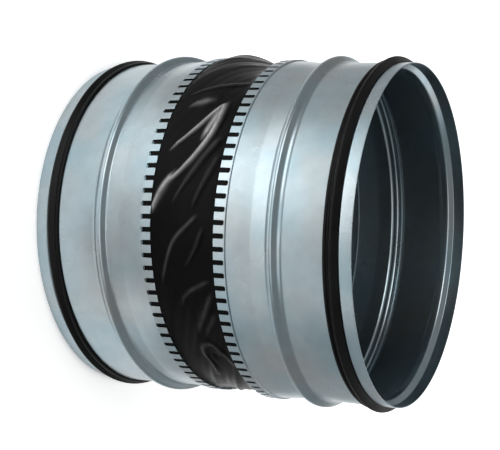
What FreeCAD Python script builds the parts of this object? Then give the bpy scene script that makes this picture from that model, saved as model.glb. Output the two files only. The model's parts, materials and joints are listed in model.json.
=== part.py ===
"""Flexible duct connector for a round 200 mm duct: two beaded sheet-steel collars with lip seals,
joined by a short slack sleeve of coated cloth that is gripped in a toothed fold of each collar.

The frame stands on the inlet collar's rim: Z runs up the inlet collar's axis and the origin is the
centre of that rim. The outlet collar is the same piece turned over, leaning towards +X by the flex
angle about an axis along Y through the middle of the sleeve.
"""
import FreeCAD, Part
from Sketcher import Constraint
import math
import os
import re

DRIVING = [
    ("collar_radius", 99.6, "outside radius of a collar's wall"),
    ("collar_length", 79.0, "rim to tooth tips"),
    ("metal", 0.5, "sheet thickness"),
    ("flank_slope", 0.75, "run over rise of the groove's flanks and the bead's far flank"),
    ("rim_band", 7.1, "rim to the seal groove"),
    ("groove_width", 8.7, "seal groove at the wall's surface"),
    ("groove_depth", 3.2, "seal groove, inwards"),
    ("bead_centre", 44.3, "rim to the middle of the stop bead"),
    ("bead_width", 8.6, "stop bead at its foot"),
    ("bead_height", 4.0, "stop bead, outwards"),
    ("bead_ramp", 1.1, "run over rise of the bead's flank that faces the rim"),
    ("tooth_length", 6.2, "closed end of a slot to the tooth tips"),
    ("slot_count", 88, "slots round one collar"),
    ("slot_width", 2.8, "gap between two teeth"),
    ("fold_web", 0.6, "solid fold behind the slots, along the axis"),
    ("fold_bevel", 0.5, "slope of the fold's back, along the axis"),
    ("cloth", 0.4, "thickness of the coated cloth"),
    ("cloth_gap", 0.2, "clearance of the cloth to the metal on each side"),
    ("hem_gap", 0.4, "cloth's edge to the bottom of the fold"),
    ("sleeve_gap", 34.2, "between the tooth tips of the two collars, on the axis"),
    ("flex_angle", 3.8, "lean of the outlet collar, degrees"),
    ("side_shift", -2.4, "outlet collar off the inlet's axis, along Y"),
    ("sleeve_columns", 72, "panels round the sleeve"),
    ("sleeve_rows", 5, "rows of panels between the collars"),
    ("fold_count", 18, "slanting folds round the sleeve"),
    ("fold_twist", 40.0, "how far a fold runs round between the collars, degrees"),
    ("fold_depth", 3.4, "depth of a fold, inwards"),
    ("fold_crest", 0.5, "how far a fold's crest stands out"),
    ("fold_wander", 75.0, "how far a fold strays from even spacing, degrees of one fold"),
    ("wander_count", 5, "times round the sleeve that the folds bunch up"),
    ("seat_gap", 0.15, "seal to the walls of its groove"),
    ("lip_height", 3.8, "seal lips above the collar's wall"),
    ("lip_start", 3.5, "groove's edge to the first lip's tip"),
    ("lip_pitch", 4.4, "between the tips of the two lips"),
    ("valley_height", 0.3, "floor between the lips, above the wall"),
]

PARTS_FOLDER = "parts"

doc = FreeCAD.newDocument("duct_connector")


def add_sheet():
    """The driving dimensions, in millimetres, degrees and counts, one to a row."""
    sheet = doc.addObject("Spreadsheet::Sheet", "Sizes")
    for row, (alias, value, meaning) in enumerate(DRIVING, start=1):
        sheet.set(f"A{row}", meaning)
        sheet.set(f"B{row}", str(value))
        sheet.setAlias(f"B{row}", alias)
    doc.recompute()
    return sheet


sizes = add_sheet()


def origin_part(body, role):
    """The plane or axis of a body's own origin with this role."""
    return next(item for item in body.Origin.OriginFeatures if item.Role == role)


def draw_outline(body, name, corners):
    """A closed outline of straight edges on the body's XZ plane.

    Each corner is a radius and a height, written as formulas of the sheet's sizes, and the sketch
    is bound to those formulas.
    """
    sketch = body.newObject("Sketcher::SketchObject", name)
    sketch.AttachmentSupport = [(origin_part(body, "XZ_Plane"), "")]
    sketch.MapMode = "FlatFace"
    places = []
    for radius, height in corners:
        values = [sketch.evalExpression(with_sheet(formula)) for formula in (radius, height)]
        places.append(FreeCAD.Vector(*[float(value) for value in values], 0))
    count = len(corners)
    edges = [Part.LineSegment(places[i], places[(i + 1) % count]) for i in range(count)]
    sketch.addGeometry(edges, False)
    for i in range(count):
        sketch.addConstraint(Constraint("Coincident", i, 2, (i + 1) % count, 1))
    for i, (radius, height) in enumerate(corners):
        bind_distance(sketch, "DistanceX", i, places[i].x, radius)
        bind_distance(sketch, "DistanceY", i, places[i].y, height)
    return sketch


def bind_distance(sketch, kind, edge, value, formula):
    """Hold the start of an edge at a distance from the sketch's origin, given by a formula."""
    if formula == "0":
        axis_edge = -1 if kind == "DistanceY" else -2
        sketch.addConstraint(Constraint("PointOnObject", edge, 1, axis_edge))
        return
    index = sketch.addConstraint(Constraint(kind, -1, 1, edge, 1, value))
    sketch.setExpression(f"Constraints[{index}]", with_sheet(formula))


def with_sheet(formula):
    """A formula of bare size names, with each name pointed at its cell of the sheet."""
    names = {alias for alias, value, meaning in DRIVING}

    def pointed(match):
        return f"{sizes.Name}.{match[0]}" if match[0] in names else match[0]

    return re.sub("[a-z_]+", pointed, formula)


def revolve(body, sketch, name):
    """Turn an outline once round the body's Z axis."""
    solid = body.newObject("PartDesign::Revolution", name)
    solid.Profile = sketch
    solid.ReferenceAxis = (origin_part(body, "Z_Axis"), [""])
    solid.Angle = 360.0
    return solid


# The share of a thickness by which a sheet's inner corner shifts along the axis at a flank
CORNER = "(sqrt(1 + flank_slope * flank_slope) - flank_slope)"
SHIFT = f"metal * {CORNER}"
RAMP_SHIFT = "metal * (sqrt(1 + bead_ramp * bead_ramp) - bead_ramp)"
GROOVE_FLANK = "groove_depth * flank_slope"
BEAD_FLANK = "bead_height * flank_slope"
BEAD_RAMP = "bead_height * bead_ramp"
BEAD_START = "(bead_centre - bead_width / 2)"
BEAD_END = "(bead_centre + bead_width / 2)"
GROOVE_END = "(rim_band + groove_width)"
# Height of the fold's back, the bottom of its mouth and the closed ends of the slots
ROOT_LINE = "(collar_length - tooth_length)"
FOLD_BACK = f"({ROOT_LINE} - fold_web - fold_bevel)"
MOUTH_FLOOR = f"({FOLD_BACK} + fold_bevel + metal)"
# Radii at the fold: the doubled lip inside the cloth, and the toothed leg outside it
LIP_OUTSIDE = "(collar_radius + metal)"
TOOTH_INSIDE = f"({LIP_OUTSIDE} + cloth + 2 * cloth_gap)"
TOOTH_OUTSIDE = f"({TOOTH_INSIDE} + metal)"
INSIDE = "(collar_radius - metal)"

COLLAR_OUTLINE = [
    # Outside, from the rim up: groove, bead, then the back of the toothed fold
    ("collar_radius", "0"),
    ("collar_radius", "rim_band"),
    ("collar_radius - groove_depth", f"rim_band + {GROOVE_FLANK}"),
    ("collar_radius - groove_depth", f"{GROOVE_END} - {GROOVE_FLANK}"),
    ("collar_radius", GROOVE_END),
    ("collar_radius", BEAD_START),
    ("collar_radius + bead_height", f"{BEAD_START} + {BEAD_RAMP}"),
    ("collar_radius + bead_height", f"{BEAD_END} - {BEAD_FLANK}"),
    ("collar_radius", BEAD_END),
    ("collar_radius", FOLD_BACK),
    (TOOTH_OUTSIDE, f"{FOLD_BACK} + fold_bevel"),
    # The toothed leg, the mouth that takes the cloth, and the doubled lip
    (TOOTH_OUTSIDE, "collar_length"),
    (TOOTH_INSIDE, "collar_length"),
    (TOOTH_INSIDE, MOUTH_FLOOR),
    (LIP_OUTSIDE, MOUTH_FLOOR),
    (LIP_OUTSIDE, "collar_length"),
    # Inside, back down to the rim, one sheet thickness within the outside
    (INSIDE, "collar_length"),
    (INSIDE, f"{BEAD_END} - {SHIFT}"),
    (f"{INSIDE} + bead_height", f"{BEAD_END} - {BEAD_FLANK} - {SHIFT}"),
    (f"{INSIDE} + bead_height", f"{BEAD_START} + {BEAD_RAMP} + {RAMP_SHIFT}"),
    (INSIDE, f"{BEAD_START} + {RAMP_SHIFT}"),
    (INSIDE, f"{GROOVE_END} + {SHIFT}"),
    (f"{INSIDE} - groove_depth", f"{GROOVE_END} - {GROOVE_FLANK} + {SHIFT}"),
    (f"{INSIDE} - groove_depth", f"rim_band + {GROOVE_FLANK} - {SHIFT}"),
    (INSIDE, f"rim_band - {SHIFT}"),
    (INSIDE, "0"),
]

SLOT_OUTLINE = [
    (f"{TOOTH_INSIDE} - cloth_gap", ROOT_LINE),
    (f"{TOOTH_OUTSIDE} + metal", ROOT_LINE),
    (f"{TOOTH_OUTSIDE} + metal", "collar_length + metal"),
    (f"{TOOTH_INSIDE} - cloth_gap", "collar_length + metal"),
]

# The seal follows the groove at the seat gap and has two lips that lean towards the bead
FLANK_GAP = "seat_gap * sqrt(1 + flank_slope * flank_slope)"
GASKET_OUTLINE = [
    ("collar_radius - groove_depth + seat_gap", f"rim_band + {GROOVE_FLANK} + seat_gap * {CORNER}"),
    ("collar_radius", f"rim_band + {FLANK_GAP}"),
    ("collar_radius + lip_height", "rim_band + lip_start"),
    ("collar_radius + valley_height", "rim_band + lip_start + lip_pitch / 2"),
    ("collar_radius + lip_height", "rim_band + lip_start + lip_pitch"),
    ("collar_radius", f"{GROOVE_END} - {FLANK_GAP}"),
    ("collar_radius - groove_depth + seat_gap", f"{GROOVE_END} - {GROOVE_FLANK} - seat_gap * {CORNER}"),
]

# The middle of the sleeve, about which the outlet leans, and the outlet's turned-over frame there
HALF_WAY = "Sizes.collar_length + Sizes.sleeve_gap / 2"
LEAN = f"placement(vector(0; Sizes.side_shift; {HALF_WAY}); rotation(vector(0; 1; 0); Sizes.flex_angle))"
TURNED_OVER = f"placement(vector(0; 0; {HALF_WAY}); rotation(vector(1; 0; 0); 180))"
OUTLET_PLACE = f"{LEAN} * {TURNED_OVER}"


def new_body(label):
    """An empty body, labelled with its node's name."""
    body = doc.addObject("PartDesign::Body", label)
    body.Label = label
    return body


def add_collar(label):
    """One rolled collar: rim, seal groove, stop bead and a fold whose outer leg is a comb of teeth."""
    body = new_body(label)
    wall = revolve(body, draw_outline(body, f"{label}_section", COLLAR_OUTLINE), f"{label}_wall")
    doc.recompute()
    slot = body.newObject("PartDesign::Pocket", f"{label}_slot")
    slot.Profile = draw_outline(body, f"{label}_slot_section", SLOT_OUTLINE)
    slot.Type = "Length"
    slot.SideType = "Symmetric"
    slot.setExpression("Length", "Sizes.slot_width")
    doc.recompute()
    comb = body.newObject("PartDesign::PolarPattern", f"{label}_comb")
    comb.Originals = [slot]
    comb.Axis = (origin_part(body, "Z_Axis"), [""])
    comb.Angle = 360.0
    comb.setExpression("Occurrences", "Sizes.slot_count")
    body.Tip = comb
    doc.recompute()
    check_cut(label, wall, slot, comb)
    return body


def check_cut(label, wall, slot, comb):
    """Stop if the first slot took no metal away, or if the pattern lost one of the others."""
    one = wall.Shape.Volume - slot.Shape.Volume
    if one <= 0:
        raise RuntimeError(f"the slot of {label} cuts nothing")
    cut = (wall.Shape.Volume - comb.Shape.Volume) / one
    print(f"{label}: {cut:.3f} slots of {one:.3f} mm3")
    if round(cut) != sizes.slot_count:
        raise RuntimeError(f"the comb of {label} has lost a slot")


def add_gasket(label):
    """One moulded seal ring with two lips."""
    body = new_body(label)
    revolve(body, draw_outline(body, f"{label}_section", GASKET_OUTLINE), f"{label}_ring")
    doc.recompute()
    return body


def sleeve_stations():
    """Distance along the sleeve of each ring of corners, from the first collar's tooth tips."""
    gap = sizes.sleeve_gap
    hem = sizes.tooth_length + sizes.fold_web - sizes.metal - sizes.hem_gap
    free = [gap * row / sizes.sleeve_rows for row in range(int(sizes.sleeve_rows) + 1)]
    return [-hem] + free + [gap + hem]


def fold_offset(column, along):
    """How far the cloth stands out from its hem radius; slanting folds that die out at the hems."""
    share = min(max(along / sizes.sleeve_gap, 0), 1)
    turn = 2 * math.pi * column / sizes.sleeve_columns
    slant = math.radians(sizes.fold_twist) * (share - 1 / 2)
    stray = math.radians(sizes.fold_wander) * math.sin(sizes.wander_count * turn)
    wave = math.sin(sizes.fold_count * (turn + slant) + stray)
    middle = (sizes.fold_crest - sizes.fold_depth) / 2
    half = (sizes.fold_crest + sizes.fold_depth) / 2
    return (middle + half * wave) * math.sin(math.pi * share)


def sleeve_corner(column, along, radius):
    """A corner of the sleeve's mesh, on the ring that leans as far as it lies along the sleeve."""
    gap = sizes.sleeve_gap
    share = min(max(along / gap, 0), 1)
    turn = 2 * math.pi * column / sizes.sleeve_columns
    pivot = FreeCAD.Vector(0, sizes.side_shift * share, sizes.collar_length + gap / 2)
    lean = FreeCAD.Rotation(FreeCAD.Vector(0, 1, 0), sizes.flex_angle * share)
    reach = radius + fold_offset(column, along)
    local = FreeCAD.Vector(reach * math.cos(turn), reach * math.sin(turn), along - gap / 2)
    return pivot + lean.multVec(local)


def band(lower, upper):
    """The corners of two flat panels to each step round, between two rings of corners."""
    panels = []
    for column in range(len(lower)):
        after = (column + 1) % len(lower)
        panels.append((lower[column], lower[after], upper[column]))
        panels.append((lower[after], upper[after], upper[column]))
    return panels


def add_sleeve(label):
    """The cloth sleeve: one closed thin wall of flat panels, folded between the collars.

    Its inside has the same panels as its outside, turned over, so the wall is equally thick.
    """
    inner_radius = sizes.collar_radius + sizes.metal + sizes.cloth_gap
    stations = sleeve_stations()
    columns = range(int(sizes.sleeve_columns))
    inner = [[sleeve_corner(c, s, inner_radius) for c in columns] for s in stations]
    outer = [[sleeve_corner(c, s, inner_radius + sizes.cloth) for c in columns] for s in stations]
    panels = band(outer[-1], inner[-1]) + band(inner[0], outer[0])
    for row in range(len(stations) - 1):
        panels += band(outer[row], outer[row + 1])
        panels += [panel[::-1] for panel in band(inner[row], inner[row + 1])]
    shell = Part.Shell([Part.Face(Part.makePolygon([*panel, panel[0]])) for panel in panels])
    shell.sewShape()
    feature = doc.addObject("Part::Feature", label)
    feature.Label = label
    feature.Shape = Part.Solid(shell)
    feature.Placement = FreeCAD.Placement()
    return feature


def build():
    """Every piece of the connector, in its place."""
    inlet = [add_collar("inlet_collar"), add_gasket("inlet_gasket")]
    outlet = [add_collar("outlet_collar"), add_gasket("outlet_gasket")]
    for piece in outlet:
        piece.setExpression("Placement", OUTLET_PLACE)
    sleeve = add_sleeve("fabric_sleeve")
    doc.recompute()
    return inlet + outlet + [sleeve]


def check(pieces):
    """Stop if any object failed, or if a piece is not one valid closed solid."""
    for item in doc.Objects:
        if "Invalid" in item.State or "Error" in item.State:
            raise RuntimeError(f"{item.Label} failed: {item.State}")
    for piece in pieces:
        shape = piece.Shape
        if shape.isNull() or not shape.isValid() or len(shape.Solids) != 1 or shape.Volume <= 0:
            raise RuntimeError(f"{piece.Label} is not one valid solid")
        print(f"{piece.Label}: {shape.Volume:.1f} mm3, {len(shape.Faces)} faces, {shape.BoundBox}")


def write(pieces):
    """One file for each piece, named for its label."""
    os.makedirs(PARTS_FOLDER, exist_ok=True)
    for piece in pieces:
        piece.Shape.exportStep(os.path.join(PARTS_FOLDER, f"{piece.Label}.step"))


all_pieces = build()
check(all_pieces)
write(all_pieces)
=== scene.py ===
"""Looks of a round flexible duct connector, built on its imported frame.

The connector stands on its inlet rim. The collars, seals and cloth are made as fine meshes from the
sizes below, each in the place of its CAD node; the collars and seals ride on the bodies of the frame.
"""
import json
import math

import bpy
import numpy as np
from bpy.props import FloatProperty, FloatVectorProperty, IntProperty, PointerProperty
from mathutils import Matrix, Vector


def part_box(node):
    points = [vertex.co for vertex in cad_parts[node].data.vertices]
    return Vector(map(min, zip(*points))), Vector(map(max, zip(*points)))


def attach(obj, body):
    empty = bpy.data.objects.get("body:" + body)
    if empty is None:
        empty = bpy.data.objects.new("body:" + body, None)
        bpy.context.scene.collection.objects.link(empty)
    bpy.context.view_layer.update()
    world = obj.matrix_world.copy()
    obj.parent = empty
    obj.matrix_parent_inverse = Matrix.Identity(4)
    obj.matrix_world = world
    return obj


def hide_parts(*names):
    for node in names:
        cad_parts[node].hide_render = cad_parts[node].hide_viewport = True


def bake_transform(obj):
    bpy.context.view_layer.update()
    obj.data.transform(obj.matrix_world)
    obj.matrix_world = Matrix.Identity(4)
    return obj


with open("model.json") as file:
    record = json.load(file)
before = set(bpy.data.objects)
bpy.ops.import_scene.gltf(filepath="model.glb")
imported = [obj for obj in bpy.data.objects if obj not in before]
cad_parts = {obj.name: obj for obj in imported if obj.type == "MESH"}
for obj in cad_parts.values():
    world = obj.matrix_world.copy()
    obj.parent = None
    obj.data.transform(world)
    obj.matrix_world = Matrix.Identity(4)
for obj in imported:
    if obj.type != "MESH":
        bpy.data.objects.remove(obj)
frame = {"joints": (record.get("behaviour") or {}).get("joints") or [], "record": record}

bl_info = {
    "name": "Flexible duct connector",
    "version": (1, 0, 0),
    "blender": (4, 5, 0),
    "location": "3D View > Sidebar > Connector",
    "description": "Builds the collars, lip seals and cloth sleeve of a round flexible duct connector",
    "category": "Add Mesh",
}

MM = 0.001
FULL_TURN = 2 * math.pi
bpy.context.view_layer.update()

# Places that come from the frame: the two collars' rims, the lean between them and its pivot
MOUNTS = {mount["name"]: mount for mount in frame["record"]["mounts"]}
JOINTS = {joint["name"]: joint for joint in frame["joints"]}
WALL_RADIUS = MOUNTS["inlet_spigot"]["dims"]["r_mm"] * MM
OUTLET_RIM = Vector(MOUNTS["outlet_spigot"]["pos_m"])
OUTLET_AXIS = Vector(MOUNTS["outlet_spigot"]["axis"]).normalized()
COLLAR_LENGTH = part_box("inlet_collar")[1].z
PIVOT = Vector(JOINTS["outlet_lean"]["pos_m"])
SLEEVE_GAP = 2 * (PIVOT.z - COLLAR_LENGTH)
FLEX_ANGLE = math.atan2(OUTLET_AXIS.x, OUTLET_AXIS.z)
OUTLET_MOUTH = OUTLET_RIM - OUTLET_AXIS * COLLAR_LENGTH


def linear(hex_colour):
    """A colour written as sRGB hex, turned to the linear values that shaders take."""
    levels = [int(hex_colour[i:i + 2], 16) / 255 for i in (1, 3, 5)]
    return tuple(v / 12.92 if v <= 0.04045 else ((v + 0.055) / 1.055) ** 2.4 for v in levels) + (1.0,)


def length(name, millimetres, description):
    """A length property, written in millimetres and kept in metres."""
    return FloatProperty(name=name, description=description, default=millimetres * MM, min=0,
                         precision=5, unit="LENGTH")


def number(name, value, description, unit="NONE"):
    """A property for a number that isn't below zero, such as a level, a ratio or a power."""
    return FloatProperty(name=name, description=description, default=value, min=0, unit=unit)


def turn_by(name, degrees, description):
    """An angle property, written in degrees and kept in radians."""
    return FloatProperty(name=name, description=description, default=math.radians(degrees),
                         unit="ROTATION")


def colour(name, hex_colour, description):
    """A colour property, written as sRGB hex and kept as linear values."""
    return FloatVectorProperty(name=name, description=description, subtype="COLOR", size=4, min=0, max=1,
                               default=linear(hex_colour))


class ConnectorSizes(bpy.types.PropertyGroup):
    """Sizes of the collars, seals and cloth."""
    metal: length("Sheet", 0.5, "Thickness of the collar's sheet metal")
    rim_band: length("Rim band", 7.1, "Rim to the seal groove")
    groove_width: length("Groove width", 8.7, "Seal groove at the wall's surface")
    groove_depth: length("Groove depth", 3.2, "Seal groove, inwards")
    bead_centre: length("Bead place", 44.3, "Rim to the middle of the stop bead")
    bead_width: length("Bead width", 8.6, "Stop bead at its foot")
    bead_height: length("Bead height", 4.0, "Stop bead above the wall")
    bead_ramp: number("Bead ramp", 0.8, "Run over rise of the bead's flank towards the rim")
    bead_back: number("Bead back", 0.5, "Run over rise of the bead's other flank")
    bead_top: length("Bead top", 2.4, "Top of the bead before it is rounded")
    crown: length("Crown", 2.1, "Radius of the bead's rounded top")
    bead_sweep: length("Bead sweep", 4.0, "Hollow radius at the bead's foot on the rim's side")
    bead_foot: length("Bead foot", 1.5, "Hollow radius at the bead's other foot")
    flank_slope: number("Flank slope", 0.75, "Run over rise of the groove's flanks")
    bend: length("Bend", 1.1, "Outside radius of the groove's bends")
    flare: length("Flare", 1.0, "How far the wall opens towards the fold")
    flare_run: length("Flare run", 14.0, "Length over which the wall opens")
    flare_bend: length("Flare bend", 20, "Radius of the bend where the wall starts to open")
    tooth_length: length("Tooth length", 6.2, "Closed end of a slot to the tooth tips")
    fold_web: length("Fold web", 0.6, "Solid fold behind the slots")
    fold_bevel: length("Fold back", 0.5, "Slope of the fold's back, along the axis")
    slot_width: length("Slot width", 2.8, "Gap between two teeth")
    slot_corner: length("Slot corner", 0.9, "Rounding of a slot's closed end")
    slot_count: IntProperty(name="Slots", description="Slots round one collar", default=88, min=3)
    edge: length("Cut edge", 0.12, "Rounding of the sheet's cut edges")
    cloth: length("Cloth", 0.4, "Thickness of the coated cloth")
    cloth_gap: length("Cloth gap", 0.2, "Clearance of the cloth to the metal on each side")
    cloth_width: length("Cloth width", 60, "Width that the strip of cloth was cut to")
    hem_depth: length("Hem depth", 5.5, "How far the cloth reaches in between the teeth and the lip")
    soft_reach: length("Slack above the inlet", 19, "Height of the cloth that takes up squeezing")
    lip_height: length("Lip height", 3.8, "Seal lips above the collar's wall")
    lip_spread: length("Lip spread", 0.5, "How much higher the outlet's lips stand and lower the inlet's")
    lip_sway: length("Lip sway", 0.25, "How far the lips stray, since the seal is pulled on by hand")
    lip_start: length("First lip", 3.5, "Groove's edge to the first lip's tip")
    lip_pitch: length("Lip pitch", 5.2, "Between the tips of the two lips")
    valley_height: length("Valley", 0.3, "Floor between the lips, above the wall")
    seat_gap: length("Seat gap", 0.15, "Seal to the walls of its groove")


class ConnectorFinish(bpy.types.PropertyGroup):
    """Colours of the connector's materials and of the studio."""
    zinc: colour("Zinc", "#A8B6BC", "Galvanised sheet, the main tone")
    zinc_cool: colour("Cool zinc", "#9AAFB7", "Bluer patches of the galvanised sheet")
    zinc_warm: colour("Warm zinc", "#A8AFB1", "Warmer patches of the galvanised sheet")
    rubber: colour("Rubber", "#0B0B0C", "Moulded seal rubber")
    cloth: colour("Cloth", "#050505", "Coated cloth")
    # Pale crest colour: partly real whitening of the coat, partly a painted highlight on the crease
    # crests
    crease: colour("Pale crease", "#B2B2B2", "Coat along the sharpest creases of the cloth")
    floor: colour("Floor", "#F4F4F4", "Studio floor")


class ConnectorStudio(bpy.types.PropertyGroup):
    """Camera, lamps and the light round the connector."""
    azimuth: turn_by("Camera azimuth", -63.586, "Camera direction round the axis")
    elevation: turn_by("Camera elevation", 28.655, "Camera direction above the rim plane")
    roll: turn_by("Camera roll", 91.005, "Turn of the picture, which lays the axis across it")
    distance: length("Camera distance", 856.89, "Camera to the point that it looks at")
    target: FloatVectorProperty(name="Camera target", description="Point that the camera looks at",
                                default=(-3.39 * MM, -2.25 * MM, 88.69 * MM), subtype="TRANSLATION",
                                precision=5)
    lens: FloatProperty(name="Lens", description="Focal length", default=101.44, min=1, unit="CAMERA")
    key_power: number("Key lamp", 3.7, "Power of the softbox beside the connector", "POWER")
    pool_power: number("Floor pool", 67.0, "Power of the lamp over the floor beside the camera", "POWER")
    low_pool_power: number("Second floor pool", 17.0, "Power of the weaker lamp over the floor", "POWER")
    rim_power: number("Rim lamp", 3.4, "Power of the small softbox that picks out the ridges", "POWER")
    fill_power: number("Fill lamp", 2.45, "Power of the broad lamp above the camera", "POWER")
    back_power: number("Back lamp", 3.2, "Power of the lamp on the far side", "POWER")
    room: number("Room light", 0.32, "Level of the even light from the room")
    sweep: number("Sweep glow", 0.88, "Glow of the white sweep behind the connector")
    sweep_front: number("Front glow", 0.48, "Glow of the sweep before it, where lamps light the floor")


def add_node(tree, kind, settings=None, inputs=None):
    """Add a shader node, set its own settings, and fill or link its inputs by name or number.

    A node that is given for an input is linked by its first output.
    """
    node = tree.nodes.new(kind)
    for name, value in (settings or {}).items():
        setattr(node, name, value)
    for name, value in (inputs or {}).items():
        if isinstance(value, bpy.types.Node):
            value = value.outputs[0]
        if isinstance(value, bpy.types.NodeSocket):
            tree.links.new(value, node.inputs[name])
        else:
            node.inputs[name].default_value = value
    return node


# Settings that several nodes share, and the numbers of a Mix node's two colours and of its result
SMOOTH = {"interpolation_type": "SMOOTHSTEP"}
COLOURS = {"data_type": "RGBA"}
UNDER, OVER, MIXED = 6, 7, 2


def new_material(name):
    """An empty node material, its tree, and the place on a piece in the piece's own frame."""
    material = bpy.data.materials.new(name)
    material.use_nodes = True
    tree = material.node_tree
    tree.nodes.clear()
    place = add_node(tree, "ShaderNodeAttribute", {"attribute_name": "own_place"})
    return material, tree, place.outputs["Vector"]


def galvanised_sheet(finish):
    """Hot-dip galvanised steel sheet, rolled to a ring.

    Satin blue-grey, with soft cloudy patches where the zinc's tone drifts, a faint spangle a few
    millimetres across, and fine rolling lines that run round the collar.
    """
    material, tree, place = new_material("galvanised_sheet_rolled")
    # Clouds about 35 mm across, warmer ones of 52 mm, a spangle of soft crystals about 7 mm across, each
    # a shade lighter or darker, and the soft waviness of a rolled sheet, about 40 mm across
    clouds, warm, spangle, wavy = [add_node(tree, "ShaderNodeTexNoise", inputs={
        "Vector": place, "Scale": 1 / (size * MM), "Detail": detail})
        for size, detail in ((35, 3.0), (52, 2.0), (7, 2.0), (40, 1.5))]
    tone = finish.zinc
    for patch, low, high, drift in ((clouds, 0.36, 0.68, finish.zinc_cool),
                                    (warm, 0.44, 0.74, finish.zinc_warm)):
        share = add_node(tree, "ShaderNodeMapRange", SMOOTH, {
            "Value": patch, "From Min": low, "From Max": high})
        tone = add_node(tree, "ShaderNodeMix", COLOURS, {
            "Factor": share, UNDER: tone, OVER: drift}).outputs[MIXED]
    shade = add_node(tree, "ShaderNodeMapRange", inputs={
        "Value": spangle, "From Min": 0.2, "From Max": 0.8, "To Min": 0.93, "To Max": 1.05})
    spangled = add_node(tree, "ShaderNodeVectorMath", {"operation": "SCALE"}, {0: tone, "Scale": shade})
    rough = add_node(tree, "ShaderNodeMapRange", inputs={
        "Value": clouds, "From Min": 0.15, "From Max": 0.85, "To Min": 0.24, "To Max": 0.34})
    # Rolling lines: about 1.2 mm apart across the strip and 60 mm long round it
    stretch = add_node(tree, "ShaderNodeVectorMath", {"operation": "MULTIPLY"}, {
        0: place, 1: (1 / (60 * MM), 1 / (60 * MM), 1 / (1.2 * MM))})
    lines = add_node(tree, "ShaderNodeTexNoise", inputs={"Vector": stretch, "Scale": 1.0, "Detail": 4.0})
    line_bump = add_node(tree, "ShaderNodeBump", inputs={
        "Height": lines, "Strength": 0.1, "Distance": 0.04 * MM})
    bump = add_node(tree, "ShaderNodeBump", inputs={
        "Height": wavy, "Strength": 0.35, "Distance": 0.4 * MM, "Normal": line_bump})
    shader = add_node(tree, "ShaderNodeBsdfPrincipled", inputs={
        "Base Color": spangled, "Metallic": 1.0, "Roughness": rough, "Normal": bump})
    add_node(tree, "ShaderNodeOutputMaterial", inputs={"Surface": shader})
    return material


def seal_rubber(finish):
    """Moulded EPDM-type rubber: near black, with a low sheen on its lips and a fine moulded grain."""
    material, tree, place = new_material("seal_rubber_moulded")
    # Bloom in patches about 18 mm across, and the mould's grain, drawn at 0.8 mm so that it shows
    bloom, grain = [add_node(tree, "ShaderNodeTexNoise", inputs={
        "Vector": place, "Scale": 1 / (size * MM), "Detail": detail})
        for size, detail in ((18, 3.0), (0.8, 2.0))]
    rough, shade = [add_node(tree, "ShaderNodeMapRange", inputs={
        "Value": bloom, "From Min": 0.3, "From Max": 0.7, "To Min": low, "To Max": high})
        for low, high in ((0.34, 0.5), (0.8, 1.5))]
    tone = add_node(tree, "ShaderNodeVectorMath", {"operation": "SCALE"}, {
        0: finish.rubber[:3], "Scale": shade})
    bump = add_node(tree, "ShaderNodeBump", inputs={
        "Height": grain, "Strength": 0.2, "Distance": 0.06 * MM})
    shader = add_node(tree, "ShaderNodeBsdfPrincipled", inputs={
        "Base Color": tone, "Roughness": rough, "IOR": 1.5, "Specular IOR Level": 0.15, "Normal": bump})
    add_node(tree, "ShaderNodeOutputMaterial", inputs={"Surface": shader})
    return material


def coated_cloth(finish):
    """Woven cloth with a calendered plastic coat: black and glossy, the weave only a faint ripple."""
    material, tree, place = new_material("coated_cloth_calendered")
    flat = add_node(tree, "ShaderNodeUVMap", {"uv_map": "flat_cloth"})
    # Weave: two crossed sets of threads 0.9 mm apart. A wave texture has 20 / (2 pi) bands to a unit.
    thread_scale = FULL_TURN / (20 * 0.9 * MM)
    across, along = [add_node(tree, "ShaderNodeTexWave", {"bands_direction": direction}, {
        "Vector": flat, "Scale": thread_scale}).outputs["Fac"] for direction in "XY"]
    weave = add_node(tree, "ShaderNodeMath", {"operation": "MULTIPLY"}, {0: across, 1: along})
    weave_bump = add_node(tree, "ShaderNodeBump", inputs={
        "Height": weave, "Strength": 0.1, "Distance": 0.05 * MM})
    # Small crumples about 7 mm across, and patches about 14 mm across that handling has dulled
    crumple, worn = [add_node(tree, "ShaderNodeTexNoise", inputs={
        "Vector": place, "Scale": 1 / (size * MM), "Detail": detail})
        for size, detail in ((7, 3.0), (14, 2.0))]
    bump = add_node(tree, "ShaderNodeBump", inputs={
        "Height": crumple, "Strength": 0.45, "Distance": 0.3 * MM, "Normal": weave_bump})
    rough, shade, streak = [add_node(tree, "ShaderNodeMapRange", inputs={
        "Value": patch, "From Min": 0.3, "From Max": 0.7, "To Min": low, "To Max": high})
        for patch, low, high in ((worn, 0.26, 0.36), (worn, 0.8, 1.25), (crumple, 0.7, 1.1))]
    black = add_node(tree, "ShaderNodeVectorMath", {"operation": "SCALE"}, {
        0: finish.cloth[:3], "Scale": shade})
    # Pale colour along the sharpest creases: partly real whitening of the coat, and partly a painted
    # highlight that stands in for the gloss on their crests
    crest = add_node(tree, "ShaderNodeAttribute", {"attribute_name": "crease_crest"}).outputs["Fac"]
    pale = add_node(tree, "ShaderNodeMath", {"operation": "MULTIPLY"}, {0: crest, 1: streak})
    coat = add_node(tree, "ShaderNodeMix", COLOURS, {
        "Factor": pale, UNDER: black, OVER: finish.crease}).outputs[MIXED]
    shader = add_node(tree, "ShaderNodeBsdfPrincipled", inputs={
        "Base Color": coat, "Roughness": rough, "IOR": 1.5, "Specular IOR Level": 0.06, "Normal": bump})
    add_node(tree, "ShaderNodeOutputMaterial", inputs={"Surface": shader})
    return material


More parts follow.
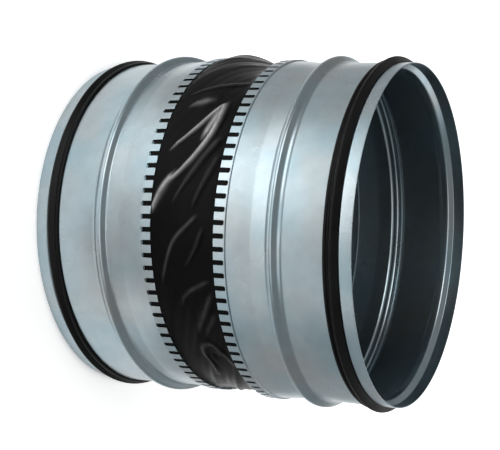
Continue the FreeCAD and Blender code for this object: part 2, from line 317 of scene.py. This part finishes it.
def studio_floor(finish, front_glow, glow):
    """Pale painted floor with a white sweep laid on it, behind and round the connector.

    The sweep glows, so the camera sees it white, and steel and gloss show it too. It fades out at its
    edges, and under the connector its glow is left out as a painted shadow; the floor keeps its soft
    shadows.
    """
    half_width = 0.143
    side_fade = 0.012
    far_fade = 0.5
    widening = 0.155
    front = -0.132
    front_fade = 0.018
    front_slant = 0.45
    # Radius of the painted shadow under the connector, where the glow is left out, and the width of its
    # soft edge
    painted_shadow_radius = 0.094
    painted_shadow_fade = 0.01
    glow_start = -0.14
    glow_full = 0.25
    material, tree, place = new_material("studio_floor_painted")
    aside, away = add_node(tree, "ShaderNodeSeparateXYZ", inputs={0: place}).outputs[:2]
    # The sweep widens behind the connector, and its sides are sharper there than far behind it
    behind = add_node(tree, "ShaderNodeMath", {"operation": "MAXIMUM"}, {0: away, 1: 0.0})
    either_side = add_node(tree, "ShaderNodeMath", {"operation": "ABSOLUTE"}, {0: aside})
    from_middle = add_node(tree, "ShaderNodeMath", {"operation": "MULTIPLY_ADD"}, {
        0: behind, 1: -widening, 2: either_side})
    fade_end = add_node(tree, "ShaderNodeMath", {"operation": "MULTIPLY_ADD"}, {
        0: behind, 1: far_fade, 2: half_width + side_fade})
    # Its front edge is cut aslant on one side
    one_side = add_node(tree, "ShaderNodeMath", {"operation": "MINIMUM"}, {0: aside, 1: 0.0})
    ahead = add_node(tree, "ShaderNodeMath", {"operation": "MULTIPLY_ADD"}, {
        0: one_side, 1: -front_slant, 2: away})
    from_axis = add_node(tree, "ShaderNodeVectorMath", {"operation": "LENGTH"}, {
        0: place}).outputs["Value"]
    level = add_node(tree, "ShaderNodeMapRange", SMOOTH, {
        "Value": away, "From Min": glow_start, "From Max": glow_full,
        "To Min": front_glow, "To Max": glow})
    # The glow fades at the sweep's sides and front edge, and is left out under the connector as a painted
    # shadow
    for value, faded, full in ((from_middle, fade_end, half_width), (ahead, front - front_fade, front),
                               (from_axis, painted_shadow_radius, painted_shadow_radius + painted_shadow_fade)):
        fade = add_node(tree, "ShaderNodeMapRange", SMOOTH, {
            "Value": value, "From Min": faded, "From Max": full})
        level = add_node(tree, "ShaderNodeMath", {"operation": "MULTIPLY"}, {0: level, 1: fade})
    path = add_node(tree, "ShaderNodeLightPath")
    seen = path.outputs["Is Camera Ray"]
    for ray in ("Is Glossy Ray", "Is Transmission Ray"):
        seen = add_node(tree, "ShaderNodeMath", {"operation": "MAXIMUM"}, {
            0: seen, 1: path.outputs[ray]})
    level = add_node(tree, "ShaderNodeMath", {"operation": "MULTIPLY"}, {0: level, 1: seen})
    paint = add_node(tree, "ShaderNodeBsdfDiffuse", inputs={"Color": finish.floor})
    light = add_node(tree, "ShaderNodeEmission", inputs={"Color": (1, 1, 1, 1), "Strength": level})
    shader = add_node(tree, "ShaderNodeAddShader", inputs={0: paint, 1: light})
    add_node(tree, "ShaderNodeOutputMaterial", inputs={"Surface": shader})
    return material


def rounded(corners, segments=6):
    """An outline through corners of (radius, height, bend), with each bend drawn as an arc."""
    points = []
    for i, (radius, height, bend) in enumerate(corners):
        here = Vector((radius, height))
        if bend == 0 or i in (0, len(corners) - 1):
            points.append(here)
            continue
        before = (Vector(corners[i - 1][:2]) - here).normalized()
        after = (Vector(corners[i + 1][:2]) - here).normalized()
        half = before.angle(after) / 2
        reach = bend / math.tan(half)
        centre = here + (before + after).normalized() * (bend / math.sin(half))
        start = here + before * reach - centre
        sweep = start.angle_signed(here + after * reach - centre)
        for step in range(segments + 1):
            turned = start.copy()
            turned.rotate(Matrix.Rotation(-sweep * step / segments, 2))
            points.append(centre + turned)
    return points


def inset(points, depth):
    """An open outline moved sideways by a depth, to the left of its direction."""
    moved = []
    for i, point in enumerate(points):
        ahead = points[min(i + 1, len(points) - 1)] - points[max(i - 1, 0)]
        moved.append(point + Vector((-ahead.y, ahead.x)).normalized() * depth)
    return moved


def turned_faces(rows, columns):
    """Faces between the rings of a closed section turned once round."""
    faces = []
    for row in range(rows):
        above = (row + 1) % rows
        for column in range(columns):
            after = (column + 1) % columns
            faces.append((row * columns + column, row * columns + after, above * columns + after,
                          above * columns + column))
    return faces


def turned_points(outline, columns):
    """Points of an outline of (radius, height), turned once round the axis."""
    points = []
    for radius, height in outline:
        for column in range(columns):
            turn = FULL_TURN * column / columns
            points.append((radius * math.cos(turn), radius * math.sin(turn), height))
    return points


def collar_outline(sizes):
    """Section of a collar's wall with its doubled lip, as a closed loop."""
    wall = WALL_RADIUS
    metal = sizes.metal
    groove_run = sizes.groove_depth * sizes.flank_slope
    groove_start = sizes.rim_band
    groove_end = groove_start + sizes.groove_width
    bead_end = sizes.bead_centre + sizes.bead_width / 2
    top_end = bead_end - sizes.bead_height * sizes.bead_back
    top_start = top_end - sizes.bead_top
    fold_back = COLLAR_LENGTH - sizes.tooth_length - sizes.fold_web - sizes.fold_bevel
    mouth_floor = fold_back + sizes.fold_bevel + metal
    outside = rounded([
        (wall, sizes.edge, 0),
        (wall, groove_start, sizes.bend),
        (wall - sizes.groove_depth, groove_start + groove_run, sizes.bend),
        (wall - sizes.groove_depth, groove_end - groove_run, sizes.bend),
        (wall, groove_end, sizes.bend),
        (wall, top_start - sizes.bead_height * sizes.bead_ramp, sizes.bead_sweep),
        (wall + sizes.bead_height, top_start, sizes.crown),
        (wall + sizes.bead_height, top_end, sizes.crown),
        (wall, bead_end, sizes.bead_foot),
        (wall, fold_back - sizes.flare_run, sizes.flare_bend),
        (wall + sizes.flare, fold_back, 0),
    ])
    inside = inset(outside, metal)
    lip = rounded([
        (wall - metal, fold_back + metal, 0),
        (wall - metal, COLLAR_LENGTH, metal * 0.9),
        (wall + metal, COLLAR_LENGTH, metal * 0.9),
        (wall + metal, mouth_floor, 0),
    ])
    rim = [Vector((wall - sizes.edge, 0)), Vector((wall - metal + sizes.edge, 0))]
    inside[0].y = sizes.edge
    return rim[::-1] + outside + [Vector((wall, mouth_floor))] + lip[::-1] + inside[::-1]


def comb_columns(sizes):
    """Places round one pitch of the comb, as (distance from the slot's middle, kind)."""
    half = sizes.slot_width / 2
    pitch = FULL_TURN * (WALL_RADIUS + 2 * sizes.metal) / sizes.slot_count
    corner = sizes.slot_corner
    right = [(0, "slot"), (half - corner, "slot")]
    right += [(half - corner * (1 - math.sin(math.radians(turn))), "slot") for turn in (30, 60)]
    right += [(half, "side"), (half + sizes.edge, "tooth"), (pitch / 2, "tooth")]
    left = [(pitch - place, kind) for place, kind in right[-2:0:-1]]
    return pitch, right + left


def slot_lift(sizes, pitch, place):
    """How far a slot's closed end rises at a place, because its corners are rounded."""
    from_middle = min(place, pitch - place)
    into = from_middle - (sizes.slot_width / 2 - sizes.slot_corner)
    if into <= 0:
        return 0.0
    into = min(into, sizes.slot_corner)
    return sizes.slot_corner - math.sqrt(sizes.slot_corner ** 2 - into ** 2)


def comb_mesh(sizes):
    """Points and faces of the toothed leg of a collar's fold, closed all round."""
    metal = sizes.metal
    edge = sizes.edge
    outer = WALL_RADIUS + 2 * metal + sizes.cloth + 2 * sizes.cloth_gap
    inner = outer - metal
    root = COLLAR_LENGTH - sizes.tooth_length
    back = root - sizes.fold_web - sizes.fold_bevel
    mouth_floor = back + sizes.fold_bevel + metal
    pitch, one_pitch = comb_columns(sizes)
    columns = [(tooth * pitch + place, place, kind) for tooth in range(sizes.slot_count)
               for place, kind in one_pitch]
    count = len(columns)
    around = [FULL_TURN * along / (pitch * sizes.slot_count) for along, place, kind in columns]
    lifts = [slot_lift(sizes, pitch, place) for along, place, kind in columns]
    faced = [outer if kind == "tooth" else outer - edge for along, place, kind in columns]
    shoulder = WALL_RADIUS + sizes.flare
    foot = rounded([(shoulder - metal / 2, back, 0), (shoulder, back, 0),
                    (outer, back + sizes.fold_bevel, metal * 0.6), (outer, root, 0)], 4)[:-1]
    rings = [[(point.x, point.y)] * count for point in foot]
    rings.append([(outer, root + lift - edge) for lift in lifts])
    closed_end = len(rings)
    rings.append([(radius, root + lift) for radius, lift in zip(faced, lifts)])
    rings.append([(radius, COLLAR_LENGTH - edge) for radius in faced])
    rings.append([(outer - edge, COLLAR_LENGTH)] * count)
    rings.append([(inner + edge, COLLAR_LENGTH)] * count)
    rings.append([(inner, COLLAR_LENGTH - edge)] * count)
    inner_end = len(rings)
    rings.append([(inner, root + lift) for lift in lifts])
    rings.append([(inner, mouth_floor)] * count)
    rings.append([(WALL_RADIUS - metal / 2, mouth_floor)] * count)
    points = [(radius * math.cos(turn), radius * math.sin(turn), height)
              for ring in rings for (radius, height), turn in zip(ring, around)]
    faces = []
    for row in range(len(rings)):
        above = (row + 1) % len(rings)
        for column in range(count):
            after = (column + 1) % count
            in_slot = "slot" in (columns[column][2], columns[after][2])
            if in_slot and closed_end <= row < inner_end:
                continue
            faces.append((row * count + column, row * count + after, above * count + after,
                          above * count + column))
    for column in range(count):
        after = (column + 1) % count
        if "slot" in (columns[column][2], columns[after][2]):
            faces.append((closed_end * count + column, closed_end * count + after,
                          inner_end * count + after, inner_end * count + column))
        if columns[column][2] == "side":
            strip = [row * count + column for row in range(closed_end, inner_end + 1)]
            rises = columns[after][2] == "tooth"
            faces.append(tuple(strip[::-1] if rises else strip))
    return points, faces


def outlet_place():
    """Where the outlet collar's own frame lies: turned over, with its rim at the outlet's mount."""
    up = -OUTLET_AXIS
    side = Vector((0, -1, 0))
    turned = Matrix((side.cross(up), side, up)).transposed().to_4x4()
    return Matrix.Translation(OUTLET_RIM) @ turned


def piece_from(name, points, faces, place, material, sharp_degrees=35):
    """A mesh piece with its own-frame places kept as an attribute, moved to its place."""
    mesh = bpy.data.meshes.new(name)
    mesh.from_pydata(points, [], faces)
    mesh.validate()
    own = mesh.attributes.new("own_place", "FLOAT_VECTOR", "POINT")
    own.data.foreach_set("vector", np.array(points, np.float32).ravel())
    mesh.transform(place)
    mesh.shade_smooth()
    mesh.set_sharp_from_angle(angle=math.radians(sharp_degrees))
    mesh.materials.append(material)
    piece = bpy.data.objects.new(name, mesh)
    bpy.context.scene.collection.objects.link(piece)
    return piece


def joined(first, second):
    """Two sets of points and faces as one."""
    points, faces = first
    more_points, more_faces = second
    shift = len(points)
    return points + more_points, faces + [tuple(i + shift for i in face) for face in more_faces]


class CONNECTOR_OT_collars(bpy.types.Operator):
    """Roll the two galvanised collars, each with its groove, bead and comb of teeth"""
    bl_idname = "connector.collars"
    bl_label = "Collars"

    def execute(self, context):
        sizes = context.scene.connector_sizes
        material = galvanised_sheet(context.scene.connector_finish)
        outline = collar_outline(sizes)
        columns = sizes.slot_count * 4
        wall = (turned_points(outline, columns), turned_faces(len(outline), columns))
        points, faces = joined(wall, comb_mesh(sizes))
        for end, place in (("inlet", Matrix.Identity(4)), ("outlet", outlet_place())):
            collar = piece_from(f"{end}_collar_rolled", points, faces, place, material)
            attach(collar, end)
            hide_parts(f"{end}_collar")
        return {"FINISHED"}


def seal_outline(sizes, lip_height, sway):
    """Section of the lip seal: its foot in the groove and two rounded lips, strayed by a sway."""
    wall = WALL_RADIUS
    gap = sizes.seat_gap
    floor = wall - sizes.groove_depth + gap
    run = sizes.groove_depth * sizes.flank_slope
    start = sizes.rim_band
    end = start + sizes.groove_width
    first = start + sizes.lip_start + sway
    second = start + sizes.lip_start + sizes.lip_pitch + sway
    shoulder = min(second - 0.2 * MM, end - gap * 1.25)
    tip_bend = 0.9 * MM
    corners = [
        (floor, start + run + gap, 0.3 * MM),
        (wall, start + gap * 1.25, 0.8 * MM),
        (wall + lip_height, first, tip_bend),
        (wall + sizes.valley_height, (first + second) / 2, 0.7 * MM),
        (wall + lip_height, second, tip_bend),
        (wall, shoulder, 0.5 * MM),
        (floor, end - run - gap, 0.3 * MM),
    ]
    looped = [corners[-1]] + corners + [corners[0]]
    return rounded(looped)[1:-1]


def seal_points(sizes, lip_height, phase, columns):
    """Points of a seal that lies a little unevenly in its groove, and how many its section has."""
    sections = []
    for column in range(columns):
        turn = FULL_TURN * column / columns
        sway = sizes.lip_sway * (0.7 * math.sin(2 * turn + phase) + 0.4 * math.sin(5 * turn + 2 * phase))
        lift = sizes.lip_sway * (0.6 * math.sin(3 * turn + phase) + 0.4 * math.sin(7 * turn + 3 * phase))
        sections.append((turn, seal_outline(sizes, lip_height + lift, sway)))
    rows = len(sections[0][1])
    return rows, [(section[row].x * math.cos(turn), section[row].x * math.sin(turn), section[row].y)
                  for row in range(rows) for turn, section in sections]


class CONNECTOR_OT_seals(bpy.types.Operator):
    """Mould the two rubber lip seals, a little uneven as they lie in their grooves"""
    bl_idname = "connector.seals"
    bl_label = "Lip seals"

    def execute(self, context):
        sizes = context.scene.connector_sizes
        material = seal_rubber(context.scene.connector_finish)
        columns = 288
        for end, place, spread, phase in (("inlet", Matrix.Identity(4), -sizes.lip_spread, 0.6),
                                          ("outlet", outlet_place(), sizes.lip_spread, 2.1)):
            rows, points = seal_points(sizes, sizes.lip_height + spread, phase, columns)
            faces = turned_faces(rows, columns)
            seal = piece_from(f"{end}_seal_moulded", points, faces, place, material, sharp_degrees=50)
            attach(seal, end)
            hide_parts(f"{end}_gasket")
        return {"FINISHED"}


# Creases that stand out, listed one by one: the path of each as (angle in degrees, height in mm), then
# its rise and its widths towards the outlet and the inlet in mm, and how pale its crest is. A negative
# rise is a hollow.
# A crest's paleness is partly real whitening of the coat and partly a painted highlight on that crease.
CREASES = [
    (((163.6, 110.8), (166.8, 106.8), (174.9, 98.6), (183.0, 85.2)), 1.7, (2.8, 1.6), 1.0),
    (((163.6, 110.8), (171.1, 110.6), (177.3, 108.4), (184.4, 102.1), (190.4, 93.8), (194.3, 86.5),
      (201.5, 79.6), (206.0, 74.0)), 1.7, (3.4, 1.6), 1.0),
    (((166.5, 109.8), (171.0, 107.6), (179.0, 103.4)), 0.4, (4.4, 3.6), 0.75),
    (((190.4, 91.0), (195.0, 84.8), (202.0, 79.4), (206.0, 75.0)), 0.5, (5.0, 2.8), 0.9),
    (((151.4, 116.1), (155.4, 97.1), (160.4, 84.7)), 1.0, (2.6, 1.6), 0.1),
    (((162.0, 101.6), (166.0, 87.8)), 1.3, (5.0, 4.0), 0.3),
    (((177.3, 115.0), (200.3, 92.0)), 0.9, (3.6, 2.2), 0.08),
    (((183.0, 117.0), (202.1, 104.0)), 0.8, (3.4, 2.2), 0.05),
    (((203.0, 108.0), (205.5, 104.1), (210.9, 93.9), (216.9, 89.4), (225.5, 84.0)), 1.1, (2.4, 1.4),
     0.14),
    (((206.7, 112.0), (214.8, 106.3), (220.0, 99.0)), 0.8, (2.4, 1.6), 0.05),
    (((223.2, 113.6), (227.8, 98.7), (233.2, 94.0)), 0.9, (2.8, 1.8), 0.08),
    (((227.5, 114.2), (243.0, 99.9)), 0.9, (3.4, 2.2), 0.08),
    (((234.5, 114.0), (244.1, 103.7)), 0.7, (3.4, 2.2), 0.05),
    (((257.5, 114.5), (251.0, 111.0), (246.6, 105.5), (248.0, 99.2), (253.6, 97.0), (258.5, 100.6),
      (266.0, 96.0)), 1.1, (2.4, 2.2), 0.08),
    (((251.0, 106.0), (254.5, 103.0)), -1.4, (2.6, 2.6), 0.0),
]


def smoothed(corners):
    """A line through corners, its corners cut twice so that it bends softly."""
    for _ in range(2):
        cut = [corners[0]]
        for a, b in zip(corners, corners[1:]):
            cut += [a + 0.25 * (b - a), a + 0.75 * (b - a)]
        corners = cut + [corners[-1]]
    return corners


def crease_relief(angle, height, path, rise, widths):
    """Relief of one crease at places of the unrolled cloth, and where its crest is.

    It has straight flanks on both sides of its path, rounded at the crest and foot. It fades out at
    both ends and narrows towards its far one.
    """
    fade_in = 4 * MM
    fade_out = 7 * MM
    narrow_end = 0.4
    narrow_run = 0.6
    rounding = 0.01
    crest_share = 0.38
    places = np.stack([angle * WALL_RADIUS, height], axis=-1)
    corners = smoothed([np.array([math.radians(turn) * WALL_RADIUS, up * MM]) for turn, up in path])
    nearest = np.full(angle.shape, np.inf)
    side = np.zeros(angle.shape)
    travelled = np.zeros(angle.shape)
    before = 0.0
    for a, b in zip(corners, corners[1:]):
        run = np.linalg.norm(b - a)
        reach = np.clip(((places - a) @ (b - a)) / run ** 2, 0, 1)
        offset = places - (a + reach[..., None] * (b - a))
        away = np.linalg.norm(offset, axis=-1)
        closer = away < nearest
        nearest = np.where(closer, away, nearest)
        side = np.where(closer, offset[..., 1], side)
        travelled = np.where(closer, before + reach * run, travelled)
        before += run
    left = before - travelled
    fade = np.minimum(1, travelled / fade_in + 0.25) * np.minimum(1, left / fade_out)
    narrowed = narrow_end + (1 - narrow_end) * np.minimum(1, left / (narrow_run * before))
    width = np.where(side > 0, widths[0], widths[1]) * MM * narrowed
    flank = 1 - np.sqrt((nearest / width) ** 2 + rounding) + math.sqrt(rounding)
    profile = 0.5 * (flank + np.sqrt(flank ** 2 + rounding))
    return rise * MM * fade * profile, fade * np.exp(-(nearest / (crest_share * width)) ** 2)


def cloth_relief(angle, height, share):
    """How far the cloth stands out from its straight run, and where its crests are pale: whitening and
    painted highlight.

    Slanting tension folds run all round, deeper where the collars stand closer because the strip is
    as wide there, and shallower on the side that has the sharp single creases.
    """
    half_folds = 9
    half_fine_folds = 23
    fold_twist = math.radians(40)
    fold_rise = 2.6
    fine_rise = 0.7
    slack_dip = 2.2
    swell_rise = 3.2
    dip_depth = 4.6
    teeth_fade = 1.5 * MM
    slant = fold_twist * (share - 0.5)
    # Slow waves, so that no two folds are alike
    stray = (0.5 * np.sin(2 * angle + 1.3) + 0.35 * np.sin(5 * angle + 4 * share)
             + 0.2 * np.sin(9 * angle - 2))
    cusp = 1 - np.sqrt(np.sin(half_folds * (angle + slant) + stray) ** 2 + 0.02)
    fine = 1 - np.sqrt(np.sin(half_fine_folds * (angle + 1.25 * slant) + 1.4 * stray) ** 2 + 0.05)
    strength = 0.75 + 0.25 * np.sin(3 * angle + 0.8) * np.cos(2 * angle + 5 * share)
    # 1 on the side with the single creases, and 0 opposite it
    shown = np.exp(-((angle - math.radians(200)) / math.radians(95)) ** 6)
    # More cloth to spare where the collars stand closer
    spare = 1 + 0.7 * np.cos(angle)
    # Over the side that the camera sees as the top, the cloth swells by the inlet and dips by the outlet
    swell = swell_rise * np.exp(-((angle - math.radians(114)) / math.radians(28)) ** 2
                                - ((share - 0.15) / 0.28) ** 2)
    dip = dip_depth * np.exp(-((angle - math.radians(105)) / math.radians(42)) ** 4
                             - ((share - 0.95) / 0.36) ** 2)
    folds = strength * (fold_rise * cusp + fine_rise * fine) * (1 - 0.55 * shown)
    relief = (spare * (folds - slack_dip) + 0.9 * shown + swell - dip) * MM
    pale = np.zeros(angle.shape)
    for path, rise, widths, paleness in CREASES:
        lift, crest = crease_relief(angle, height, path, rise, widths)
        relief += lift
        pale = np.maximum(pale, paleness * crest)
    # The pale crests, partly real whitening and partly a painted highlight, fade out where the teeth hold
    # the cloth
    return relief, pale * np.clip((height - COLLAR_LENGTH) / teeth_fade, 0, 1)


def cloth_rings(sizes):
    """The cloth's rings from hem to hem, as (centre, lean), and the number of the one at the split."""
    low_rows = 24
    high_rows = 22
    hem = sizes.hem_depth
    split = Vector((0, OUTLET_MOUTH.y * sizes.soft_reach / SLEEVE_GAP, COLLAR_LENGTH + sizes.soft_reach))
    hem_shares = (1, 0.5)
    rings = [(Vector((0, 0, COLLAR_LENGTH - hem * back)), 0.0) for back in hem_shares]
    for row in range(low_rows):
        rings.append((Vector((0, 0, COLLAR_LENGTH)).lerp(split, row / low_rows), 0.0))
    for row in range(high_rows + 1):
        rings.append((split.lerp(OUTLET_MOUTH, row / high_rows), FLEX_ANGLE * row / high_rows))
    rings += [(OUTLET_MOUTH + OUTLET_AXIS * hem * on, FLEX_ANGLE) for on in reversed(hem_shares)]
    return rings, len(hem_shares) + low_rows


def cloth_grid(sizes, columns):
    """The cloth's outer and inner layer as grids of places, and what its pieces need beside them."""
    edge_run = 2.2 * MM
    rings, split_row = cloth_rings(sizes)
    angle = np.arange(columns) * FULL_TURN / columns
    ring_angle = np.tile(angle, (len(rings), 1))
    centre = np.array([tuple(ring[0]) for ring in rings])
    lean = np.array([[ring[1]] for ring in rings])
    radius = WALL_RADIUS + sizes.metal + sizes.cloth_gap
    height = centre[:, 2:3] - np.sin(lean) * radius * np.cos(ring_angle)
    mouth = OUTLET_MOUTH.z - math.sin(FLEX_ANGLE) * radius * np.cos(ring_angle)
    from_inlet = np.maximum(height - COLLAR_LENGTH, 0)
    from_outlet = np.maximum(mouth - height, 0)
    share = np.clip(from_inlet / (mouth - COLLAR_LENGTH), 0, 1)
    hold = (1 - np.exp(-from_inlet / edge_run)) * (1 - np.exp(-from_outlet / edge_run))
    stand, pale = cloth_relief(ring_angle, height, share)
    stand *= hold
    layers = []
    for reach in (radius + sizes.cloth, radius):
        out = reach + stand
        layers.append(np.stack([
            centre[:, 0:1] + np.cos(lean) * out * np.cos(ring_angle),
            centre[:, 1:2] + out * np.sin(ring_angle),
            centre[:, 2:3] - np.sin(lean) * out * np.cos(ring_angle)], axis=-1))
    travel = np.concatenate([[0], np.cumsum(np.linalg.norm(np.diff(centre, axis=0), axis=1))])
    return layers, split_row, angle, travel, pale


def grid_normals(points):
    """Normals of one layer of the cloth, from its neighbours round and along the sleeve."""
    round_it = np.roll(points, -1, axis=1) - np.roll(points, 1, axis=1)
    along = np.gradient(points, axis=0)
    normals = np.cross(round_it, along)
    return normals / np.linalg.norm(normals, axis=-1, keepdims=True)


def cloth_piece(name, layers, normals, pale, angle, travel, rows, columns, material):
    """A closed piece of the cloth from some rows and columns of its grid, shaded as the whole is."""
    inner_paleness = 0.15
    whole_ring = len(columns) == len(angle)
    across = len(columns)
    strips = across if whole_ring else across - 1
    chosen = np.ix_(rows, columns)
    points, turned = [np.concatenate([layer[chosen].reshape(-1, 3) for layer in both])
                      for both in (layers, normals)]
    inner = len(rows) * across
    faces = []
    flat = []
    unrolled = [angle[column] + (FULL_TURN if column < columns[0] else 0) for column in columns]
    for row in range(len(rows) - 1):
        for column in range(strips):
            after = (column + 1) % across
            corners = [(row, column), (row, after), (row + 1, after), (row + 1, column)]
            turns = [unrolled[column], unrolled[after] + (FULL_TURN if after == 0 else 0)]
            spread = [(turns[k] * WALL_RADIUS, travel[rows[r]])
                      for (r, c), k in zip(corners, (0, 1, 1, 0))]
            faces.append([r * across + c for r, c in corners])
            faces.append([inner + r * across + c for r, c in corners[::-1]])
            flat += spread + spread[::-1]
    edges = []
    for row, step in ((0, 1), (len(rows) - 1, -1)):
        for column in range(strips):
            edges.append([(row, column), (row, (column + 1) % across)][::step])
    if not whole_ring:
        for column, step in ((0, -1), (across - 1, 1)):
            for row in range(len(rows) - 1):
                edges.append([(row, column), (row + 1, column)][::step])
    for (r0, c0), (r1, c1) in edges:
        first = r0 * across + c0
        second = r1 * across + c1
        faces.append([first, inner + first, inner + second, second])
        start, end = [(unrolled[c] * WALL_RADIUS, travel[rows[r]]) for r, c in ((r0, c0), (r1, c1))]
        flat += [start, start, end, end]
    piece = piece_from(name, [tuple(point) for point in points], faces, Matrix.Identity(4), material,
                       sharp_degrees=180)
    layer = piece.data.uv_layers.new(name="flat_cloth")
    layer.uv.foreach_set("vector", np.array(flat, np.float32).ravel())
    # Pale crests for the shader, partly real whitening and partly a painted highlight; the inner side
    # gets a little of them
    crest = piece.data.attributes.new("crease_crest", "FLOAT", "POINT")
    crest.data.foreach_set("value", np.outer([1, inner_paleness], pale[chosen]).ravel())
    piece.data.normals_split_custom_set_from_vertices([tuple(normal) for normal in turned])
    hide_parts("fabric_sleeve")
    return piece


class CONNECTOR_OT_sleeve(bpy.types.Operator):
    """Lay the slack cloth sleeve between the collars, with its slanting tension folds"""
    bl_idname = "connector.sleeve"
    bl_label = "Cloth sleeve"

    def execute(self, context):
        sizes = context.scene.connector_sizes
        material = coated_cloth(context.scene.connector_finish)
        columns = 720
        layers, split_row, angle, travel, pale = cloth_grid(sizes, columns)
        normals = [grid_normals(layers[0]), -grid_normals(layers[1])]
        quarter = columns // 4
        low = list(range(split_row + 1))
        high = list(range(split_row, len(travel)))
        lean_rise = WALL_RADIUS * math.sin(FLEX_ANGLE)
        lower = cloth_piece("cloth_by_inlet", layers, normals, pale, angle, travel, low,
                            list(range(columns)), material)
        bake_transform(lower)
        # The wide side reaches a column further, tucked into the cloth's thickness, so that the edges
        # still meet when the collars lean
        wide_side = list(range(quarter - 1, 3 * quarter + 2))
        tucked = [layer.copy() for layer in layers]
        for layer in tucked:
            for column in (wide_side[0], wide_side[-1]):
                layer[:, column] -= normals[0][:, column] * sizes.cloth / 2
        close_side = list(range(3 * quarter, columns)) + list(range(quarter + 1))
        upper = [("cloth_by_outlet_wide_side", tucked, wide_side, OUTLET_MOUTH.z + lean_rise),
                 ("cloth_by_outlet_close_side", layers, close_side, OUTLET_MOUTH.z - lean_rise)]
        for name, places, chosen, top in upper:
            piece = cloth_piece(name, places, normals, pale, angle, travel, high, chosen, material)
            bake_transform(piece)
        return {"FINISHED"}


def add_camera(studio):
    """The camera at the photograph's angle, with the connector's axis laid across the picture."""
    data = bpy.data.cameras.new("view_camera")
    data.lens = studio.lens
    camera = bpy.data.objects.new("view_camera", data)
    bpy.context.scene.collection.objects.link(camera)
    back = Vector((math.sin(studio.azimuth) * math.cos(studio.elevation),
                   -math.cos(studio.azimuth) * math.cos(studio.elevation), math.sin(studio.elevation)))
    facing = (-back).to_track_quat("-Z", "Y").to_matrix() @ Matrix.Rotation(studio.roll, 3, "Z")
    place = Vector(studio.target) + back * studio.distance
    camera.matrix_world = Matrix.Translation(place) @ facing.to_4x4()
    bpy.context.scene.camera = camera


def add_lamp(name, kind, power, studio, place, aim):
    """A lamp at a place that faces an aim, both as (degrees aside of the camera, reach, height)."""
    ends = []
    for aside, reach, height in (place, aim):
        around = studio.azimuth - math.pi / 2 - math.radians(aside)
        ends.append(Vector((reach * math.cos(around), reach * math.sin(around), height)))
    data = bpy.data.lights.new(name, kind)
    data.energy = power
    lamp = bpy.data.objects.new(name, data)
    lamp.location = ends[0]
    lamp.rotation_mode = "QUATERNION"
    lamp.rotation_quaternion = (ends[1] - ends[0]).to_track_quat("-Z", "Y")
    bpy.context.scene.collection.objects.link(lamp)
    return data


def add_softbox(name, power, size, studio, place):
    """A rectangular softbox that faces the connector."""
    data = add_lamp(name, "AREA", power, studio, place, (0, 0, PIVOT.z))
    data.shape = "RECTANGLE"
    data.size, data.size_y = size


def add_pool(name, power, spread, studio, place):
    """A soft-edged lamp that hangs over the floor and lights a pool there."""
    data = add_lamp(name, "SPOT", power, studio, place, (*place[:2], 0))
    data.spot_size = spread
    data.spot_blend = 1.0
    data.shadow_soft_size = 0.05


# Each lamp's name, its power, the angle of its cone or the sides of its box, and its place as degrees
# aside of the camera, reach from the axis and height
POOLS = (
    ("floor_pool", "pool_power", 48, (31, 0.5, 0.9)),
    ("low_pool", "low_pool_power", 44, (-26, 0.52, 0.9)),
)
SOFTBOXES = (
    ("key_softbox", "key_power", (1.5, 1.0), (25, 1.1, 0.75)),
    ("rim_softbox", "rim_power", (0.8, 0.6), (46, 1.0, 0.8)),
    ("fill_softbox", "fill_power", (1.0, 1.0), (-20, 1.3, 1.1)),
    ("back_softbox", "back_power", (1.0, 1.0), (200, 1.2, 0.9)),
)


class CONNECTOR_OT_studio(bpy.types.Operator):
    """Set up the pale floor with its white sweep, the soft lamps, the room and the camera"""
    bl_idname = "connector.studio"
    bl_label = "Studio"

    def execute(self, context):
        studio = context.scene.connector_studio
        context.scene.view_settings.view_transform = "Standard"
        half = 4.0
        corners = [(-half, -half, 0), (half, -half, 0), (half, half, 0), (-half, half, 0)]
        paint = studio_floor(context.scene.connector_finish, studio.sweep_front, studio.sweep)
        floor = piece_from("studio_floor", corners, [(0, 1, 2, 3)],
                           Matrix.Rotation(studio.azimuth, 4, "Z"), paint)
        world = bpy.data.worlds.new("studio_room")
        context.scene.world = world
        world.use_nodes = True
        tree = world.node_tree
        tree.nodes.clear()
        room = add_node(tree, "ShaderNodeBackground", inputs={
            "Color": (1, 1, 1, 1), "Strength": studio.room})
        add_node(tree, "ShaderNodeOutputWorld", inputs={"Surface": room})
        for name, power, spread, place in POOLS:
            add_pool(name, getattr(studio, power), math.radians(spread), studio, place)
        for name, power, size, place in SOFTBOXES:
            add_softbox(name, getattr(studio, power), size, studio, place)
        add_camera(studio)
        return {"FINISHED"}


STEPS = ("collars", "seals", "sleeve", "studio")
GROUPS = {"connector_sizes": ConnectorSizes, "connector_finish": ConnectorFinish,
          "connector_studio": ConnectorStudio}


class CONNECTOR_PT_panel(bpy.types.Panel):
    """Lists the connector's pieces and their sizes"""
    bl_idname = "CONNECTOR_PT_panel"
    bl_label = "Flexible duct connector"
    bl_space_type = "VIEW_3D"
    bl_region_type = "UI"
    bl_category = "Connector"

    def draw(self, context):
        for step in STEPS:
            self.layout.operator(f"connector.{step}")
        for name, group in GROUPS.items():
            for value in group.__annotations__:
                self.layout.prop(getattr(context.scene, name), value)


CLASSES = (*GROUPS.values(), CONNECTOR_OT_collars, CONNECTOR_OT_seals, CONNECTOR_OT_sleeve,
           CONNECTOR_OT_studio, CONNECTOR_PT_panel)


def register():
    """Register the classes and hang the property groups on the scene."""
    for item in CLASSES:
        bpy.utils.register_class(item)
    for name, group in GROUPS.items():
        setattr(bpy.types.Scene, name, PointerProperty(type=group))


def unregister():
    """Take the property groups and classes away again."""
    for name in GROUPS:
        delattr(bpy.types.Scene, name)
    for item in reversed(CLASSES):
        bpy.utils.unregister_class(item)


def main():
    """Build every piece and the studio."""
    register()
    for step in STEPS:
        getattr(bpy.ops.connector, step)()


if __name__ == "__main__":
    main()
